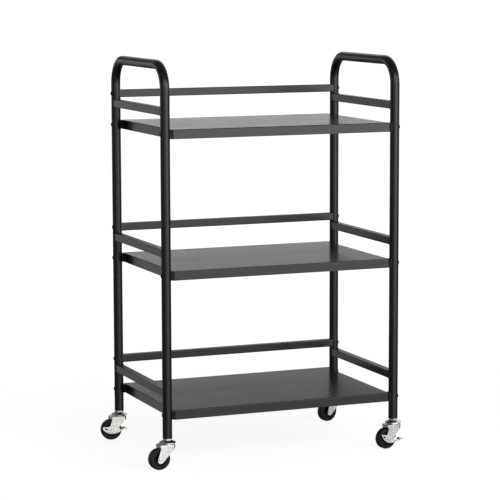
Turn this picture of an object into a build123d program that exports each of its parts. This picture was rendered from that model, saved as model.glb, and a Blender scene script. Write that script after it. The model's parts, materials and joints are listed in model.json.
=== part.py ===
from build123d import *
import math
import os

# Three-tier rolling utility cart, in millimetres.
# Origin: on the floor, midway between the four posts. +X runs along the shelves to the right,
# +Y from the open front to the back rails, +Z up.

# ---- side frames ----
post_span_x = 568.0
post_span_y = 340.0
tube_r = 11.0
tube_wall = 1.2
post_bottom = 71.0
handle_top = 926.0
handle_bend_r = 55.0

# ---- shelves ----
shelf_tops = {"bottom": 135.0, "middle": 453.5, "top": 772.0}
shelf_length = 538.0
shelf_depth = 356.0
shelf_lip = 21.5
shelf_sheet = 1.0
shelf_fold_r = 2.0
shelf_corner_r = 3.0
shelf_return = 10.0

# ---- square rails ----
rail_size = 18.0
rail_wall = 1.2
rail_corner_r = 1.5
side_rail_rise = 40.0
back_rail_rise = 63.0

# ---- screws, nuts, spacers, plugs ----
screw_r = 3.0
screw_hole_r = 3.1
screw_head_r = 4.8
screw_head_rim = 0.5
screw_head_height = 2.1
socket_flats = 3.0
socket_depth = 1.5
nut_flats = 10.0
nut_height = 5.0
nut_bore_r = 3.02
shelf_screw_length = 35.0
rail_screw_length = 37.0
spacer_width = 16.0
spacer_height = 20.0
spacer_wing = 2.5
saddle_gap = 0.02
plug_length = 15.0
plug_setback = 1.5
plug_slack = 0.05

# ---- casters: heights above the floor, distances from the swivel axis ----
wheel_r = 25.0
trail = 20.5
tyre_half_width = 9.0
tyre_shoulder_r = 4.5
tyre_ring_radii = (18.6, 20.6)
tyre_ring_width = 0.8
tyre_ring_height = 0.35
tread_seat_r = 17.5
bond_gap = 0.02
hub_half_width = 11.2
hub_boss_r = 7.5
hub_rim_inner_r = 14.5
hub_rim_half_width = 8.6
hub_web_half = 3.0
axle_r = 3.5
running_gap = 0.08
fixed_gap = 0.02
axle_head_r = 4.6
axle_head_height = 1.4
axle_head_round = 1.0
fork_half_width = 13.5
fork_sheet = 2.0
fork_top = 58.0
fork_edge_r = 1.6
fork_front = 16.0
fork_front_corner_r = 7.0
fork_rear = -27.0
fork_corner_r = 3.0
bulge_start = -21.0
leg_rear = -19.0
skirt_bottom = 52.0
tip_r = 7.0
tip_drop = 2.0
track_r = 13.0
track_top = 59.2
ball_r = 1.7
ball_pitch_r = 9.5
ball_count = 12
race_r = 19.8
race_rim_bottom = 61.4
race_rim_width = 1.5
race_shoulder_r = 19.2
race_shoulder_z = 62.6
race_inner_z = 62.9
race_inner_r = 13.2
race_top = 67.2
race_top_r = 10.0
king_pin_r = 5.0
king_pin_head_r = 7.5
king_pin_head_top = 55.7
king_pin_head_height = 1.6
collar_flats = 18.0
collar_chamfer = 0.8
stem_r = 4.0
stem_length = 22.0
socket_length = 25.0

# ---- brake lever: distances from the axle, along and up ----
lever_gap = 0.3
lever_sheet = 1.4
lever_flange = 5.0
lever_flare = 0.2
tab_width = 12.0
tab_round = 5.0
tab_droop = 0.2
lever_press = 11.0
lever_rear_end = (-22.2, 5.8)
lever_low_point = (0.0, -6.2)
lever_front_end = (20.5, 0.5)
tab_crest = (28.0, 7.2)
tab_end = (35.5, 5.6)
lever_neck = (19.5, 4.6)
lever_shoulder = (10.5, 8.2)
lever_boss_top = (0.0, 10.5)
lever_waist = (-9.0, 8.2)
lever_rear_top = (-21.8, 8.4)
lever_slot_at = (-13.8, 3.2)
lever_slot_length = 8.0
lever_slot_width = 3.4
lever_slot_tilt = -22.0
lever_hole_at = (13.0, 3.8)
lever_hole_r = 1.3

# Caster headings (degrees about +Z, 0 trails straight towards -X) and brake lever angles at rest.
casters = {
    "front_left": {"sides": (-1, -1), "heading": 0.0},
    "front_right": {"sides": (1, -1), "heading": 8.0, "lever_angle": lever_press},
    "rear_left": {"sides": (-1, 1), "heading": -9.0, "lever_angle": 0.0},
    "rear_right": {"sides": (1, 1), "heading": 12.0},
}

post_x = post_span_x / 2
post_y = post_span_y / 2
shelf_end = shelf_length / 2
screw_drop = shelf_lip / 2
corners = [(sx, sy) for sx in (-1, 1) for sy in (-1, 1)]

os.makedirs("parts", exist_ok=True)


def save(builder, name):
    builder.part.label = name
    export_step(builder.part, f"parts/{name}.step")


# ------------------------------------------------------------------ frame tubes
def frame_tube(side):
    """One tube bent to an inverted U: front post, handle bar, rear post."""
    with BuildPart() as tube:
        with BuildLine(Plane.YZ.offset(side * post_x)) as path:
            FilletPolyline(
                (-post_y, post_bottom),
                (-post_y, handle_top - tube_r),
                (post_y, handle_top - tube_r),
                (post_y, post_bottom),
                radius=handle_bend_r,
            )
        with BuildSketch(Plane(origin=path.line @ 0, z_dir=path.line % 0)):
            Circle(tube_r)
            Circle(tube_r - tube_wall, mode=Mode.SUBTRACT)
        sweep()
        with BuildSketch(Plane.YZ.offset(side * post_x)):
            for top in shelf_tops.values():
                with Locations((-post_y, top - screw_drop), (post_y, top - screw_drop)):
                    Circle(screw_hole_r)
                with Locations((post_y, top + back_rail_rise)):
                    Circle(screw_hole_r)
        extrude(amount=2 * tube_r, both=True, mode=Mode.SUBTRACT)
    return tube


for side, side_name in ((-1, "left"), (1, "right")):
    save(frame_tube(side), f"{side_name}_frame_tube")


# ------------------------------------------------------------------ rails
def rail_section():
    RectangleRounded(rail_size, rail_size, rail_corner_r)
    inner = rail_size - 2 * rail_wall
    Rectangle(inner, inner, mode=Mode.SUBTRACT)


def side_rail(side, height):
    """Square tube between the front and rear posts, coped to both."""
    with BuildPart() as rail:
        with BuildSketch(Plane.XZ):
            with Locations((side * post_x, height)):
                rail_section()
        extrude(amount=post_y, both=True)
        with BuildSketch(Plane.XY.offset(height - rail_size)):
            with Locations((side * post_x, -post_y), (side * post_x, post_y)):
                Circle(tube_r)
        extrude(amount=2 * rail_size, mode=Mode.SUBTRACT)
    return rail


def back_rail(height):
    """Square tube between the two rear posts, coped to both."""
    with BuildPart() as rail:
        with BuildSketch(Plane.YZ):
            with Locations((post_y, height)):
                rail_section()
        extrude(amount=post_x, both=True)
        with BuildSketch(Plane.XY.offset(height - rail_size)):
            with Locations((-post_x, post_y), (post_x, post_y)):
                Circle(tube_r)
        extrude(amount=2 * rail_size, mode=Mode.SUBTRACT)
    return rail


for level, top in shelf_tops.items():
    save(side_rail(-1, top + side_rail_rise), f"left_side_rail_{level}")
    save(side_rail(1, top + side_rail_rise), f"right_side_rail_{level}")
    save(back_rail(top + back_rail_rise), f"back_rail_{level}")


# ------------------------------------------------------------------ shelves
def shelf_tray(top):
    """Folded sheet: flat top, four lips, and a return fold under the two long lips."""
    return_y = shelf_depth / 2 - shelf_sheet - shelf_return / 2
    with BuildPart() as tray:
        with BuildSketch(Plane.XY.offset(top - shelf_lip)):
            RectangleRounded(shelf_length, shelf_depth, shelf_corner_r)
        extrude(amount=shelf_lip)
        fillet(tray.faces().sort_by(Axis.Z)[-1].edges(), shelf_fold_r)
        with BuildSketch(Plane.XY.offset(top - shelf_lip)):
            RectangleRounded(
                shelf_length - 2 * shelf_sheet,
                shelf_depth - 2 * shelf_sheet,
                shelf_corner_r - shelf_sheet,
            )
        extrude(amount=shelf_lip - shelf_sheet, mode=Mode.SUBTRACT)
        with BuildSketch(Plane.XY.offset(top - shelf_lip)):
            with Locations((0, -return_y), (0, return_y)):
                Rectangle(shelf_length - 4 * shelf_corner_r, shelf_return)
        extrude(amount=shelf_sheet)
        with BuildSketch(Plane.YZ):
            with Locations((-post_y, top - screw_drop), (post_y, top - screw_drop)):
                Circle(screw_hole_r)
        extrude(amount=shelf_length, both=True, mode=Mode.SUBTRACT)
    return tray


# ------------------------------------------------------------------ fasteners
def screw(side, y, z, length):
    """Domed head screw with a hexagon socket, driven through a post from outside."""
    outside = Plane(origin=(side * (post_x + tube_r), y, z), z_dir=(side, 0, 0))
    half_section = Plane(origin=outside.origin, x_dir=(0, 0, 1), z_dir=(0, side, 0))
    dome_rise = screw_head_height - screw_head_rim
    dome_r = (screw_head_r**2 + dome_rise**2) / (2 * dome_rise)
    with BuildPart() as one:
        with BuildSketch(half_section):
            with BuildLine():
                Polyline(
                    (0, screw_head_height),
                    (0, 0),
                    (screw_head_r, 0),
                    (screw_head_r, screw_head_rim),
                )
                RadiusArc((screw_head_r, screw_head_rim), (0, screw_head_height), -dome_r)
            make_face()
        revolve(axis=Axis(outside.origin, outside.z_dir))
        with BuildSketch(outside):
            Circle(screw_r)
        extrude(amount=-length)
        with BuildSketch(outside.offset(screw_head_height)):
            RegularPolygon(socket_flats / 2, 6, major_radius=False)
        extrude(amount=-socket_depth, mode=Mode.SUBTRACT)
    return one.part


def group(solids):
    """Identical fasteners gathered in one piece of separate solids."""
    with BuildPart() as gathered:
        add(solids)
    return gathered


def shelf_screws(top):
    z = top - screw_drop
    return group([screw(sx, sy * post_y, z, shelf_screw_length) for sx, sy in corners])


def back_rail_screws():
    heights = [top + back_rail_rise for top in shelf_tops.values()]
    return group([screw(side, post_y, z, rail_screw_length) for z in heights for side in (-1, 1)])


def shelf_nuts(top):
    """Hexagon nuts against the inside of the shelf's end lips."""
    with BuildPart() as nuts:
        for sx, sy in corners:
            seat = (sx * (shelf_end - shelf_sheet), sy * post_y, top - screw_drop)
            with BuildSketch(Plane(origin=seat, z_dir=(-sx, 0, 0))):
                RegularPolygon(nut_flats / 2, 6, major_radius=False)
                Circle(nut_bore_r, mode=Mode.SUBTRACT)
            extrude(amount=nut_height)
    return nuts


def saddle_spacers(top):
    """Blocks between post and shelf end, hollowed to sit on the round post."""
    reach = post_x - shelf_end - tube_r + spacer_wing
    with BuildPart() as spacers:
        for sx, sy in corners:
            centre_x = sx * (shelf_end + reach / 2)
            with BuildSketch(Plane.XY.offset(top - screw_drop - spacer_height / 2)):
                with Locations((centre_x, sy * post_y)):
                    Rectangle(reach, spacer_width)
                with Locations((sx * post_x, sy * post_y)):
                    Circle(tube_r + saddle_gap, mode=Mode.SUBTRACT)
            extrude(amount=spacer_height)
        with BuildSketch(Plane.YZ):
            with Locations((-post_y, top - screw_drop), (post_y, top - screw_drop)):
                Circle(screw_hole_r)
        extrude(amount=post_x, both=True, mode=Mode.SUBTRACT)
    return spacers


def back_rail_plugs():
    """Threaded blocks fixed inside both ends of every back rail."""
    width = rail_size - 2 * rail_wall - 2 * plug_slack
    face_x = post_x - tube_r - plug_setback
    with BuildPart() as plugs:
        for top in shelf_tops.values():
            for side in (-1, 1):
                face = (side * face_x, post_y, top + back_rail_rise)
                with BuildSketch(Plane(origin=face, z_dir=(-side, 0, 0))):
                    Rectangle(width, width)
                    Circle(nut_bore_r, mode=Mode.SUBTRACT)
                extrude(amount=plug_length)
    return plugs


for level, top in shelf_tops.items():
    save(shelf_tray(top), f"shelf_{level}")
    save(shelf_screws(top), f"shelf_screws_{level}")
    save(shelf_nuts(top), f"shelf_nuts_{level}")
    save(saddle_spacers(top), f"saddle_spacers_{level}")

save(back_rail_screws(), "back_rail_screws")
save(back_rail_plugs(), "back_rail_plugs")

with BuildPart() as caster_sockets:
    with BuildSketch(Plane.XY.offset(post_bottom)):
        with GridLocations(post_span_x, post_span_y, 2, 2):
            Circle(tube_r - tube_wall - plug_slack)
            Circle(stem_r + fixed_gap, mode=Mode.SUBTRACT)
    extrude(amount=socket_length)
save(caster_sockets, "caster_sockets")


# ------------------------------------------------------------------ casters
class CasterFrame:
    """Where one caster stands: its swivel axis and the planes its pieces are drawn on."""

    def __init__(self, sides, heading):
        centre = (sides[0] * post_x, sides[1] * post_y, 0)
        turn = math.radians(heading)
        along = Vector(math.cos(turn), math.sin(turn), 0)
        self.floor = Plane(origin=centre, x_dir=along, z_dir=(0, 0, 1))
        across = self.floor.y_dir
        self.side = Plane(origin=centre, x_dir=along, z_dir=across * -1)
        self.axle_at = self.floor.from_local_coords((-trail, 0, wheel_r))
        self.axle = Plane(origin=self.axle_at, x_dir=across, z_dir=along)
        self.swivel = Axis(centre, (0, 0, 1))

    def level(self, height):
        return self.floor.offset(height)

    def lever(self, angle):
        """Drawing plane of the brake lever, pressed down by angle about the axle."""
        drop = math.radians(angle)
        along = self.side.x_dir * math.cos(drop) - self.side.y_dir * math.sin(drop)
        return Plane(origin=self.axle_at, x_dir=along, z_dir=self.side.z_dir)


def caster_stem(at):
    """Thread in the post, hexagonal collar, king pin and its riveted head."""
    with BuildPart() as stem:
        with BuildSketch(at.level(race_top)):
            RegularPolygon(collar_flats / 2, 6, major_radius=False)
        extrude(amount=post_bottom - race_top)
        chamfer(stem.faces().sort_by(Axis.Z)[0].edges(), collar_chamfer)
        with BuildSketch(at.level(post_bottom)):
            Circle(stem_r)
        extrude(amount=stem_length)
        with BuildSketch(at.level(king_pin_head_top)):
            Circle(king_pin_r)
        extrude(amount=race_top - king_pin_head_top)
        with BuildSketch(at.level(king_pin_head_top)):
            Circle(king_pin_head_r)
        extrude(amount=-king_pin_head_height)
    return stem


def caster_race(at):
    """Domed upper race, pressed onto the king pin under the collar."""
    rim_r = race_r - race_rim_width
    with BuildPart() as race:
        with BuildSketch(at.side):
            with BuildLine():
                Polyline(
                    (king_pin_r + fixed_gap, race_top),
                    (race_top_r, race_top),
                    (race_shoulder_r, race_shoulder_z),
                    (race_r, race_rim_bottom),
                    (rim_r, race_rim_bottom),
                    (rim_r - race_rim_width / 3, race_rim_bottom + race_rim_width / 3),
                    (race_inner_r, race_inner_z + 1),
                    (race_inner_r, race_inner_z),
                    (king_pin_r + fixed_gap, race_inner_z),
                    close=True,
                )
            make_face()
        revolve(axis=at.swivel)
    return race


def caster_balls(at):
    ball_z = track_top + ball_r + fixed_gap
    with BuildPart() as balls:
        with Locations(at.level(ball_z)):
            with PolarLocations(ball_pitch_r, ball_count):
                Sphere(ball_r)
    return balls


def fork_plan(inset, rear, bulge, rear_corner):
    """Plan of the fork, bulged at the rear, with rounded corners; inset is the wall taken off."""
    half = fork_half_width - inset
    front = fork_front - inset
    with BuildSketch() as plan:
        with BuildLine():
            ThreePointArc((rear, half), (rear - bulge, 0), (rear, -half))
            Polyline((rear, -half), (front, -half), (front, half), (rear, half))
        make_face()
        fillet(plan.vertices().sort_by(Axis.X)[-2:], fork_front_corner_r - inset)
        fillet(plan.vertices().sort_by(Axis.X)[:2], rear_corner - inset)
    return plan.sketch


def tangent_point(point, centre, radius, turn):
    """Where the line from point touches the circle; turn is +1 or -1 for the two solutions."""
    dx = point[0] - centre[0]
    dz = point[1] - centre[1]
    distance = math.hypot(dx, dz)
    angle = math.atan2(dz, dx) + turn * math.acos(radius / distance)
    return (centre[0] + radius * math.cos(angle), centre[1] + radius * math.sin(angle))


def leg_side():
    """Side view of a leg, tapering from the skirt to a rounded tip below the axle."""
    tip = (-trail, wheel_r - tip_drop)
    rear_top = (leg_rear, skirt_bottom)
    front_top = (fork_front, skirt_bottom)
    rear_touch = tangent_point(rear_top, tip, tip_r, 1)
    front_touch = tangent_point(front_top, tip, tip_r, -1)
    with BuildSketch() as profile:
        with BuildLine():
            Polyline(front_touch, front_top, rear_top, rear_touch)
            ThreePointArc(rear_touch, (tip[0], tip[1] - tip_r), front_touch)
        make_face()
    return profile.sketch


def caster_fork(at):
    """Stamped fork: top plate with its ball track, skirt and two legs."""
    leg_end = fork_rear - tip_r
    leg_outer = fork_plan(0, leg_end, fork_sheet, fork_corner_r)
    leg_inner = fork_plan(fork_sheet, leg_end, 2 * fork_sheet, fork_corner_r)
    top_outer = fork_plan(0, bulge_start, bulge_start - fork_rear, fork_corner_r)
    top_inner = fork_plan(
        fork_sheet, bulge_start, bulge_start - fork_rear - fork_sheet, fork_corner_r
    )
    side_view = leg_side()
    with BuildPart() as fork:
        with BuildSketch(at.floor):
            add(leg_outer)
            add(leg_inner, mode=Mode.SUBTRACT)
        extrude(amount=skirt_bottom)
        with BuildSketch(at.side):
            add(side_view)
        extrude(amount=2 * fork_half_width, both=True, mode=Mode.INTERSECT)
        with BuildSketch(at.level(skirt_bottom)):
            add(top_outer)
        extrude(amount=fork_top - skirt_bottom)
        fillet(fork.faces().sort_by(Axis.Z)[-1].edges(), fork_edge_r)
        with BuildSketch(at.level(skirt_bottom)):
            add(top_inner)
        extrude(amount=fork_top - fork_sheet - skirt_bottom, mode=Mode.SUBTRACT)
        with BuildSketch(at.level(fork_top)):
            Circle(track_r)
        extrude(amount=track_top - fork_top)
        with BuildSketch(at.floor):
            Circle(king_pin_r + running_gap)
        extrude(amount=track_top, mode=Mode.SUBTRACT)
        with BuildSketch(at.side):
            with Locations((-trail, wheel_r)):
                Circle(axle_r + fixed_gap)
        extrude(amount=2 * fork_half_width, both=True, mode=Mode.SUBTRACT)
    return fork


def caster_axle(at, near_grip):
    """Rivet through both legs; near_grip is how far its head stands out on the lever side."""
    with BuildPart() as axle:
        with BuildSketch(at.side.offset(near_grip)):
            with Locations((-trail, wheel_r)):
                Circle(axle_r)
        extrude(amount=-(near_grip + fork_half_width))
        for face, direction in ((near_grip, 1), (-fork_half_width, -1)):
            with BuildSketch(at.side.offset(face)):
                with Locations((-trail, wheel_r)):
                    Circle(axle_head_r)
            extrude(amount=direction * axle_head_height)
        outer = Axis(at.axle_at, at.side.z_dir)
        ends = axle.faces().filter_by(GeomType.PLANE).sort_by(outer)
        fillet((ends[0] + ends[-1]).edges(), axle_head_round)
    return axle


def caster_hub(at):
    """Plastic wheel centre: boss on the axle, thin web, rim under the tyre."""
    bore = axle_r + running_gap
    with BuildPart() as hub:
        with BuildSketch(at.axle):
            for half, low, high in (
                (hub_half_width, bore, hub_boss_r),
                (hub_web_half, bore, tread_seat_r),
                (hub_rim_half_width, hub_rim_inner_r, tread_seat_r),
            ):
                with Locations((0, (low + high) / 2)):
                    Rectangle(2 * half, high - low)
        revolve(axis=Axis(at.axle_at, at.axle.x_dir))
    return hub


def caster_tyre(at):
    """Rubber tread bonded on the hub, with rounded shoulders and raised rings on its sides."""
    inner = tread_seat_r + bond_gap
    with BuildPart() as tyre:
        with BuildSketch(at.axle) as section:
            with Locations((0, (inner + wheel_r) / 2)):
                Rectangle(2 * tyre_half_width, wheel_r - inner)
            shoulders = section.vertices().group_by(Axis.Y)[-1]
            fillet(shoulders, tyre_shoulder_r)
            for ring_r in tyre_ring_radii:
                with Locations((0, ring_r)):
                    Rectangle(2 * (tyre_half_width + tyre_ring_height), tyre_ring_width)
        revolve(axis=Axis(at.axle_at, at.axle.x_dir))
    return tyre


def brake_lever(at, angle):
    """Stamped lever beside the fork: plate on the axle, turned-out rim, foot tab."""
    plane = at.lever(angle)
    inner = plane.offset(fork_half_width + lever_gap)
    plan = Plane(origin=inner.origin, x_dir=plane.x_dir, z_dir=plane.y_dir)
    outward = plane.z_dir - plane.y_dir * tab_droop
    with BuildPart() as lever:
        with BuildSketch(inner):
            with BuildLine() as pedal:
                ThreePointArc(lever_front_end, tab_crest, tab_end)
            trace(pedal.line, lever_sheet)
        extrude(amount=tab_width, dir=outward)
        with BuildSketch(plan.offset(-wheel_r)):
            with Locations((tab_end[0] / 2, -tab_width / 2)):
                RectangleRounded(tab_end[0], tab_width, tab_round)
        extrude(amount=2 * wheel_r, mode=Mode.INTERSECT)
        with BuildSketch(inner):
            with BuildLine() as rim:
                ThreePointArc(lever_rear_end, lever_low_point, lever_front_end)
            trace(rim.line, lever_sheet)
        extrude(amount=lever_flange, dir=plane.z_dir - plane.y_dir * lever_flare)
        with BuildSketch(inner):
            with BuildLine():
                ThreePointArc(lever_rear_end, lever_low_point, lever_front_end)
                Polyline(lever_front_end, lever_neck, lever_shoulder)
                ThreePointArc(lever_shoulder, lever_boss_top, lever_waist)
                Polyline(lever_waist, lever_rear_top, lever_rear_end)
            make_face()
            Circle(axle_r + running_gap, mode=Mode.SUBTRACT)
            with Locations(lever_slot_at):
                SlotOverall(
                    lever_slot_length,
                    lever_slot_width,
                    rotation=lever_slot_tilt,
                    mode=Mode.SUBTRACT,
                )
            with Locations(lever_hole_at):
                Circle(lever_hole_r, mode=Mode.SUBTRACT)
        extrude(amount=lever_sheet)
    return lever


for corner, facts in casters.items():
    at = CasterFrame(facts["sides"], facts["heading"])
    name = f"caster_{corner}"
    has_lever = "lever_angle" in facts
    lever_stack = 2 * lever_gap + lever_sheet if has_lever else 0
    save(caster_stem(at), f"{name}_stem")
    save(caster_race(at), f"{name}_race")
    save(caster_balls(at), f"{name}_balls")
    save(caster_fork(at), f"{name}_fork")
    save(caster_axle(at, fork_half_width + lever_stack), f"{name}_axle")
    save(caster_hub(at), f"{name}_hub")
    save(caster_tyre(at), f"{name}_tyre")
    if has_lever:
        save(brake_lever(at, facts["lever_angle"]), f"{name}_brake_lever")
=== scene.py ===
"""Looks of the rolling utility cart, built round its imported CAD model.

Units are metres, in the CAD frame: origin on the floor midway between the posts, +X along the
shelves, +Y from the open front to the back rails, +Z up.
"""

import json
import math
import random

import bmesh
import bpy
from mathutils import Matrix, Vector


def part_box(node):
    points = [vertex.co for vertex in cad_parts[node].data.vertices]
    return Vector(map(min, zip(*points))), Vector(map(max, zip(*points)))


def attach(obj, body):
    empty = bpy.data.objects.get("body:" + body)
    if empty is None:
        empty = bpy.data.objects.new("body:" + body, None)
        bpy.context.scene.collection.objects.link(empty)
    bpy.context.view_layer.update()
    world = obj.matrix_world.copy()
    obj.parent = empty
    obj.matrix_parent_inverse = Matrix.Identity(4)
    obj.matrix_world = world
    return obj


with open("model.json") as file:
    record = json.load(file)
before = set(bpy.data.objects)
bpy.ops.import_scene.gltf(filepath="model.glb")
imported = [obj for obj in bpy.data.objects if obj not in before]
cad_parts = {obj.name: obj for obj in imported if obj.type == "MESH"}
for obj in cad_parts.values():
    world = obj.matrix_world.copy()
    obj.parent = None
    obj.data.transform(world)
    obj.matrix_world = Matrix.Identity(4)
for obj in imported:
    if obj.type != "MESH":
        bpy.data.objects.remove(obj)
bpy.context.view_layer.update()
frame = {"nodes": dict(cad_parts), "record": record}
cad_nodes = frame["nodes"]
slot_of = {part["node"]: part["material_slot"] for part in frame["record"]["subparts"]}

SIDES = {"left": -1, "right": 1}
LEVELS = ("bottom", "middle", "top")

# ---- sizes that the welds follow, as in the CAD model, and the bead itself ----
POST_X = 0.284
POST_Y = 0.170
TUBE_R = 0.011
RAIL_HALF = 0.009
WELD_R = 0.0015
WELD_STEPS = 160
WELD_SIDES = 10
WELD_RIPPLE = 4
WELD_RIPPLE_DEPTH = 0.14
WELD_JITTER = 0.05
RAIL_SQUARENESS = 24.0

# ---- camera, fitted to the view of the real cart ----
CAMERA_AT = (-1.90817, -4.65364, 1.12866)
CAMERA_AZIMUTH = 22.179
CAMERA_DOWN = 7.5007
CAMERA_ROLL = -0.1541
CAMERA_LENS = 154.24
CAMERA_SENSOR = 36.0
CAMERA_REACH = 200.0

# ---- studio ----
FLOOR_RADIUS = 90.0
FLOOR_TONE = 0.3
FLOOR_TONE_SPREAD = 0.02
FLOOR_CLOUDS = 3.0
# the floor's own glow is FLOOR_GLOW up to FLOOR_NEAR from the centre, and 1 from FLOOR_FAR on
FLOOR_GLOW = 0.88
FLOOR_NEAR = 0.5
FLOOR_FAR = 4.0
ROOM_ABOVE = 0.16
ROOM_BELOW = 0.15
HORIZON_BLUR = 0.01
# patches of brighter floor: (azimuth, glow added, cosine where it starts, cosine where it is full)
FLOOR_BOUNCE = ((12.0, 1.0, 0.6, 1.0), (200.0, 0.33, 0.9, 0.99))
# name: (azimuth, distance, bottom, top, width, glow), in degrees, metres and radiance
PANELS = {
    "key_left": (-2.0, 2.4, 1.2, 1.8, 2.0, 0.75),
    "key_right": (45.0, 2.4, 1.2, 1.8, 2.0, 2.35),
    "key_centre": (22.0, 2.4, 0.6, 1.2, 1.6, 1.25),
    "key_low": (22.0, 2.4, 0.0, 0.6, 1.6, 0.7),
    "front_right": (30.0, 8.0, 0.0, 2.1, 8.4, 1.05),
    "front_left": (-30.0, 8.0, 0.0, 2.1, 8.4, 0.6),
    "front_high": (0.0, 7.0, 2.1, 6.0, 12.0, 1.9),
    "rear_low": (165.0, 20.0, 0.0, 2.1, 24.0, 1.15),
    "rear_middle": (165.0, 20.0, 2.1, 3.5, 24.0, 0.45),
    "rear_high": (147.0, 7.0, 2.6, 6.5, 8.0, 0.9),
    "rear_left": (222.0, 20.0, 0.0, 3.0, 15.0, 0.65),
    "rear_right": (112.0, 20.0, 0.0, 3.0, 15.0, 1.0),
    "right_low": (90.0, 6.0, 0.0, 0.9, 2.4, 0.3),
    "left_side": (-85.0, 5.0, 0.0, 2.0, 4.0, 0.15),
}


# ------------------------------------------------------------------ node helpers
def add(tree, kind, inputs=None, **settings):
    """Adds a node, sets its options, and sets or links its inputs."""
    made = tree.nodes.new(kind)
    for name, value in settings.items():
        setattr(made, name, value)
    for name, value in (inputs or {}).items():
        socket = made.inputs[name]
        if isinstance(value, bpy.types.NodeSocket):
            tree.links.new(value, socket)
        else:
            socket.default_value = value
    return made


def noise(tree, at, scale, detail=2.0, roughness=0.5):
    inputs = {"Vector": at, "Scale": scale, "Detail": detail, "Roughness": roughness}
    return add(tree, "ShaderNodeTexNoise", inputs).outputs["Fac"]


def stretch(tree, at, factors, turn=(0.0, 0.0, 0.0)):
    inputs = {"Vector": at, "Rotation": turn, "Scale": factors}
    return add(tree, "ShaderNodeMapping", inputs).outputs["Vector"]


def remap(tree, value, low, high, start=0.3, end=0.7):
    inputs = {"Value": value, "From Min": start, "From Max": end, "To Min": low, "To Max": high}
    return add(tree, "ShaderNodeMapRange", inputs).outputs["Result"]


def blend_tones(tree, value, low, high, start=0.3, end=0.7):
    """A colour between two tones, chosen by value."""
    ramp = add(tree, "ShaderNodeValToRGB", {"Fac": value})
    ends = ramp.color_ramp.elements
    ends[0].position, ends[1].position = start, end
    ends[0].color, ends[1].color = (*low, 1.0), (*high, 1.0)
    return ramp.outputs["Color"]


def average(tree, first, second, share=0.5):
    """Weighted mean of two values; share is the second one's weight."""
    mix = add(tree, "ShaderNodeMix", {"Factor": share}, data_type="FLOAT")
    tree.links.new(first, mix.inputs["A"])
    tree.links.new(second, mix.inputs["B"])
    return mix.outputs["Result"]


def bump(tree, height, depth, strength=1.0, under=None):
    inputs = {"Height": height, "Distance": depth, "Strength": strength}
    if under is not None:
        inputs["Normal"] = under
    return add(tree, "ShaderNodeBump", inputs).outputs["Normal"]


def new_material(name):
    made = bpy.data.materials.new(name)
    made.use_nodes = True
    tree = made.node_tree
    tree.nodes.clear()
    shader = add(tree, "ShaderNodeBsdfPrincipled")
    output = add(tree, "ShaderNodeOutputMaterial")
    tree.links.new(shader.outputs["BSDF"], output.inputs["Surface"])
    place = add(tree, "ShaderNodeTexCoord").outputs["Object"]
    return made, tree, shader, place


def connect(tree, shader, **sockets):
    """Feeds the shader's sockets: colour, rough, normal."""
    names = {"colour": "Base Color", "rough": "Roughness", "normal": "Normal"}
    for key, value in sockets.items():
        tree.links.new(value, shader.inputs[names[key]])


# ------------------------------------------------------------------ materials
def powder_coat(name, tone, rough, gloss, peel):
    """Satin baked powder: an orange-peel skin with fine grain and a slightly cloudy tone."""
    made, tree, shader, place = new_material(name)
    shader.inputs["Specular IOR Level"].default_value = gloss
    cloud = noise(tree, place, 9.0, 3.0)
    grain = noise(tree, place, 2400.0, 2.0)
    skin = noise(tree, place, 700.0, 2.0)
    mottle = average(tree, cloud, grain, 0.45)
    darker = tuple(c * 0.72 for c in tone)
    lighter = tuple(c * 1.3 for c in tone)
    colour = blend_tones(tree, mottle, darker, lighter)
    sheen = average(tree, cloud, skin, 0.6)
    low, high = rough
    normal = bump(tree, grain, 0.00002, 0.3, bump(tree, skin, peel, 0.5))
    connect(tree, shader, colour=colour, rough=remap(tree, sheen, low, high), normal=normal)
    return made


def zinc_plate(name):
    """Bright zinc on stamped steel: draw streaks, dull blotches, faint spangle, slightly green."""
    made, tree, shader, place = new_material(name)
    shader.inputs["Metallic"].default_value = 1.0
    streaks = noise(tree, stretch(tree, place, (1.0, 1.0, 0.15)), 520.0, 3.0)
    blotches = noise(tree, place, 210.0, 3.0, 0.6)
    spangle = add(tree, "ShaderNodeTexVoronoi", {"Vector": place, "Scale": 420.0})
    tint = average(tree, average(tree, streaks, blotches, 0.5), spangle.outputs["Distance"], 0.2)
    colour = blend_tones(tree, tint, (0.50, 0.52, 0.48), (0.90, 0.92, 0.88), 0.34, 0.62)
    grain = noise(tree, place, 1600.0, 2.0)
    rough = remap(tree, average(tree, blotches, grain, 0.4), 0.14, 0.34)
    waves = bump(tree, noise(tree, place, 95.0, 1.0), 0.0012, 0.5)
    normal = bump(tree, streaks, 0.00008, 0.4, waves)
    connect(tree, shader, colour=colour, rough=rough, normal=normal)
    return made


def rubber(name):
    """Black tread rubber, with mould texture and a dull bloom."""
    made, tree, shader, place = new_material(name)
    shader.inputs["Specular IOR Level"].default_value = 0.3
    bloom = noise(tree, place, 160.0, 4.0)
    grain = noise(tree, place, 2200.0, 2.0)
    colour = blend_tones(tree, bloom, (0.0025, 0.0025, 0.0025), (0.008, 0.008, 0.0077))
    rough = remap(tree, average(tree, bloom, grain, 0.4), 0.26, 0.55)
    connect(tree, shader, colour=colour, rough=rough, normal=bump(tree, grain, 0.00005, 0.5))
    return made


def moulded_plastic(name, tone, rough):
    """Moulded plastic with a fine spark-eroded texture."""
    made, tree, shader, place = new_material(name)
    shader.inputs["Specular IOR Level"].default_value = 0.2
    texture = noise(tree, place, 1500.0, 3.0)
    flow = noise(tree, place, 60.0, 2.0)
    darker = tuple(c * 0.7 for c in tone)
    lighter = tuple(c * 1.35 for c in tone)
    colour = blend_tones(tree, average(tree, flow, texture, 0.4), darker, lighter)
    low, high = rough
    connect(
        tree,
        shader,
        colour=colour,
        rough=remap(tree, texture, low, high),
        normal=bump(tree, texture, 0.00004, 0.5),
    )
    return made


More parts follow.
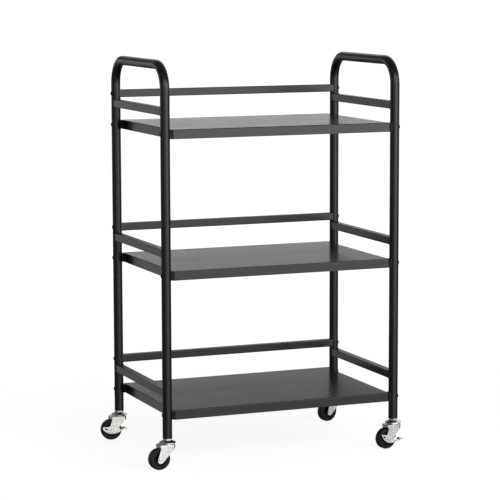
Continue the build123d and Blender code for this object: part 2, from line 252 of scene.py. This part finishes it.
def dark_steel(name):
    """Blackened steel of the screws."""
    made, tree, shader, place = new_material(name)
    shader.inputs["Metallic"].default_value = 0.6
    patina = noise(tree, place, 900.0, 3.0)
    colour = blend_tones(tree, patina, (0.018, 0.018, 0.02), (0.05, 0.05, 0.052))
    rough = remap(tree, patina, 0.28, 0.45)
    connect(tree, shader, colour=colour, rough=rough, normal=bump(tree, patina, 0.00004, 0.4))
    return made


def greased_steel(name):
    """Bearing steel under a dark film of grease, kept dark so that the gap between the race and
    the fork reads dark: partly grease, partly painted shade.
    """
    made, tree, shader, place = new_material(name)
    shader.inputs["Metallic"].default_value = 0.5
    film = noise(tree, place, 600.0, 3.0)
    # the dark tones are partly grease and partly painted shade standing in for the shadow in the
    # bearing gap
    colour = blend_tones(tree, film, (0.02, 0.018, 0.014), (0.12, 0.11, 0.095))
    rough = remap(tree, film, 0.15, 0.4)
    connect(tree, shader, colour=colour, rough=rough, normal=bump(tree, film, 0.00005, 0.4))
    return made


def plain_steel(name):
    """Uncoated steel inside the tubes."""
    made, tree, shader, place = new_material(name)
    shader.inputs["Metallic"].default_value = 1.0
    lines = noise(tree, stretch(tree, place, (1.0, 1.0, 0.2)), 1200.0, 3.0)
    colour = blend_tones(tree, lines, (0.42, 0.42, 0.41), (0.6, 0.6, 0.58))
    rough = remap(tree, lines, 0.3, 0.5)
    connect(tree, shader, colour=colour, rough=rough, normal=bump(tree, lines, 0.00003, 0.3))
    return made


BLACK = (0.005, 0.005, 0.0049)
SHELF_BLACK = (0.007, 0.007, 0.0069)

materials = {
    "black_powder_coat": powder_coat("frame coat", BLACK, (0.22, 0.31), 0.5, 0.00002),
    "shelf_coat": powder_coat("shelf coat", SHELF_BLACK, (0.17, 0.24), 0.5, 0.00001),
    "zinc_plate": zinc_plate("zinc plate"),
    "wheel_tread": rubber("tread rubber"),
    "wheel_hub": moulded_plastic("hub plastic", (0.004, 0.004, 0.004), (0.3, 0.45)),
    "black_plastic": moulded_plastic("spacer plastic", (0.003, 0.003, 0.003), (0.4, 0.55)),
    "dark_screw": dark_steel("blackened steel"),
    "hidden_steel": plain_steel("plain steel"),
    "greased_steel": greased_steel("grease and gap shade"),
}
for node, slot in slot_of.items():
    for socket in cad_nodes[node].material_slots:
        socket.material = materials[slot]


# ------------------------------------------------------------------ welds
def seam_point(side, end, angle, rail_z):
    """A point round the end of a side rail, where its outline meets the round post."""
    power = 2.0 / RAIL_SQUARENESS
    across = math.copysign(abs(math.cos(angle)) ** power, math.cos(angle))
    upward = math.copysign(abs(math.sin(angle)) ** power, math.sin(angle))
    reach = RAIL_HALF * across
    rise = RAIL_HALF * upward
    inset = math.sqrt(TUBE_R**2 - reach**2)
    return Vector((side * POST_X + reach, end * (POST_Y - inset), rail_z + rise))


def weld_bead(shape, side, end, rail_z, rng):
    """A rippled fillet bead all round one rail end, closed on itself."""
    centre = Vector((side * POST_X, end * (POST_Y - TUBE_R), rail_z))
    rings = []
    for step in range(WELD_STEPS):
        angle = math.tau * step / WELD_STEPS
        here = seam_point(side, end, angle, rail_z)
        ahead = seam_point(side, end, angle + math.tau / WELD_STEPS, rail_z)
        along = (ahead - here).normalized()
        outward = (here - centre).normalized()
        outward = (outward - along * outward.dot(along)).normalized()
        upright = along.cross(outward)
        ripple = 0.5 + 0.5 * math.cos(math.tau * step / WELD_RIPPLE)
        swell = 1.0 - WELD_RIPPLE_DEPTH + WELD_RIPPLE_DEPTH * ripple
        radius = WELD_R * (swell + rng.uniform(-WELD_JITTER, WELD_JITTER))
        ring = []
        for k in range(WELD_SIDES):
            turn = math.tau * k / WELD_SIDES
            offset = outward * math.cos(turn) + upright * math.sin(turn)
            ring.append(shape.verts.new(here + offset * radius))
        rings.append(ring)
    for ring, after in zip(rings, rings[1:] + rings[:1]):
        for k in range(WELD_SIDES):
            nxt = (k + 1) % WELD_SIDES
            shape.faces.new((ring[k], ring[nxt], after[nxt], after[k]))


def side_rail_welds(word, side, level, rng):
    """Both end welds of one side rail, under the frame's powder coat."""
    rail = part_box(f"{word}_side_rail_{level}")
    rail_z = (rail[0][2] + rail[1][2]) / 2
    mesh = bpy.data.meshes.new(f"{word}_weld_{level}")
    shape = bmesh.new()
    for end in (-1, 1):
        weld_bead(shape, side, end, rail_z, rng)
    bmesh.ops.recalc_face_normals(shape, faces=shape.faces)
    shape.to_mesh(mesh)
    shape.free()
    mesh.shade_smooth()
    made = bpy.data.objects.new(mesh.name, mesh)
    bpy.context.scene.collection.objects.link(made)
    made.data.materials.append(materials["black_powder_coat"])
    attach(made, "frame")
    return made


rng = random.Random(7)
for level in LEVELS:
    for word, side in SIDES.items():
        side_rail_welds(word, side, level, rng)


# ------------------------------------------------------------------ studio
def disc(name, radius, segments=96):
    mesh = bpy.data.meshes.new(name)
    shape = bmesh.new()
    bmesh.ops.create_circle(shape, cap_ends=True, segments=segments, radius=radius)
    shape.to_mesh(mesh)
    shape.free()
    made = bpy.data.objects.new(name, mesh)
    bpy.context.scene.collection.objects.link(made)
    return made


def floor_material():
    """Matt white studio floor, lit a little from within so that it stays pale far away."""
    made, tree, shader, place = new_material("studio floor")
    shader.inputs["Specular IOR Level"].default_value = 0.0
    shader.inputs["Roughness"].default_value = 1.0
    shader.inputs["Emission Color"].default_value = (1.0, 1.0, 1.0, 1.0)
    distance = add(tree, "ShaderNodeVectorMath", {0: place}, operation="LENGTH").outputs["Value"]
    glow = remap(tree, distance, FLOOR_GLOW, 1.0, FLOOR_NEAR, FLOOR_FAR)
    tree.links.new(glow, shader.inputs["Emission Strength"])
    tone = (FLOOR_TONE,) * 3
    paler = (FLOOR_TONE + FLOOR_TONE_SPREAD,) * 3
    clouds = noise(tree, place, FLOOR_CLOUDS)
    connect(tree, shader, colour=blend_tones(tree, clouds, tone, paler))
    return made


floor = disc("studio_floor", FLOOR_RADIUS)
floor.data.materials.append(floor_material())
floor.visible_glossy = False
floor.visible_diffuse = False


def panel(name, azimuth, distance, low, high, width, glow):
    """An upright soft light facing the cart; azimuth runs from the front (-Y) towards +X."""
    turn = math.radians(azimuth)
    height = high - low
    lamp = bpy.data.lights.new(name, "AREA")
    lamp.shape = "RECTANGLE"
    lamp.size, lamp.size_y = width, height
    lamp.energy = glow * math.pi * width * height
    made = bpy.data.objects.new(name, lamp)
    made.location = (distance * math.sin(turn), -distance * math.cos(turn), (low + high) / 2)
    made.rotation_euler = (math.pi / 2, 0.0, turn)
    made.visible_camera = False
    bpy.context.scene.collection.objects.link(made)
    return made


for name, facts in PANELS.items():
    panel(name, *facts)


def studio_world():
    """White to the camera; to the object, a dim room over a slightly lit floor."""
    world = bpy.data.worlds.new("studio")
    world.use_nodes = True
    tree = world.node_tree
    tree.nodes.clear()
    way = add(tree, "ShaderNodeTexCoord").outputs["Generated"]
    below = add(tree, "ShaderNodeValue").outputs["Value"]
    below.default_value = ROOM_BELOW
    for azimuth, glow, start, full in FLOOR_BOUNCE:
        turn = math.radians(azimuth)
        aim = (math.sin(turn), -math.cos(turn), 0.0)
        toward = add(tree, "ShaderNodeVectorMath", {0: way, 1: aim}, operation="DOT_PRODUCT")
        patch = remap(tree, toward.outputs["Value"], 0.0, glow, start, full)
        below = add(tree, "ShaderNodeMath", {0: below, 1: patch}, operation="ADD").outputs["Value"]
    height = add(tree, "ShaderNodeSeparateXYZ", {"Vector": way}).outputs["Z"]
    upward = remap(tree, height, 0.0, 1.0, -HORIZON_BLUR, HORIZON_BLUR)
    room = add(tree, "ShaderNodeMix", {"Factor": upward}, data_type="FLOAT")
    tree.links.new(below, room.inputs["A"])
    room.inputs["B"].default_value = ROOM_ABOVE
    lit = add(tree, "ShaderNodeBackground", {"Strength": room.outputs["Result"]})
    lit.inputs["Color"].default_value = (1.0, 1.0, 1.0, 1.0)
    white = add(tree, "ShaderNodeBackground", {"Color": (1.0, 1.0, 1.0, 1.0), "Strength": 1.0})
    seen = add(tree, "ShaderNodeLightPath").outputs["Is Camera Ray"]
    mixed = add(tree, "ShaderNodeMixShader", {0: seen})
    tree.links.new(lit.outputs["Background"], mixed.inputs[1])
    tree.links.new(white.outputs["Background"], mixed.inputs[2])
    output = add(tree, "ShaderNodeOutputWorld")
    tree.links.new(mixed.outputs["Shader"], output.inputs["Surface"])
    bpy.context.scene.world = world


studio_world()
bpy.context.scene.view_settings.view_transform = "Standard"

lens = bpy.data.cameras.new("camera")
lens.lens = CAMERA_LENS
lens.sensor_width = CAMERA_SENSOR
lens.clip_end = CAMERA_REACH
camera = bpy.data.objects.new("camera", lens)
bpy.context.scene.collection.objects.link(camera)
turn = Matrix.Rotation(math.radians(-CAMERA_AZIMUTH), 4, "Z")
tilt = Matrix.Rotation(math.radians(90.0 - CAMERA_DOWN), 4, "X")
roll = Matrix.Rotation(math.radians(CAMERA_ROLL), 4, "Z")
camera.matrix_world = Matrix.Translation(CAMERA_AT) @ turn @ tilt @ roll
bpy.context.scene.camera = camera
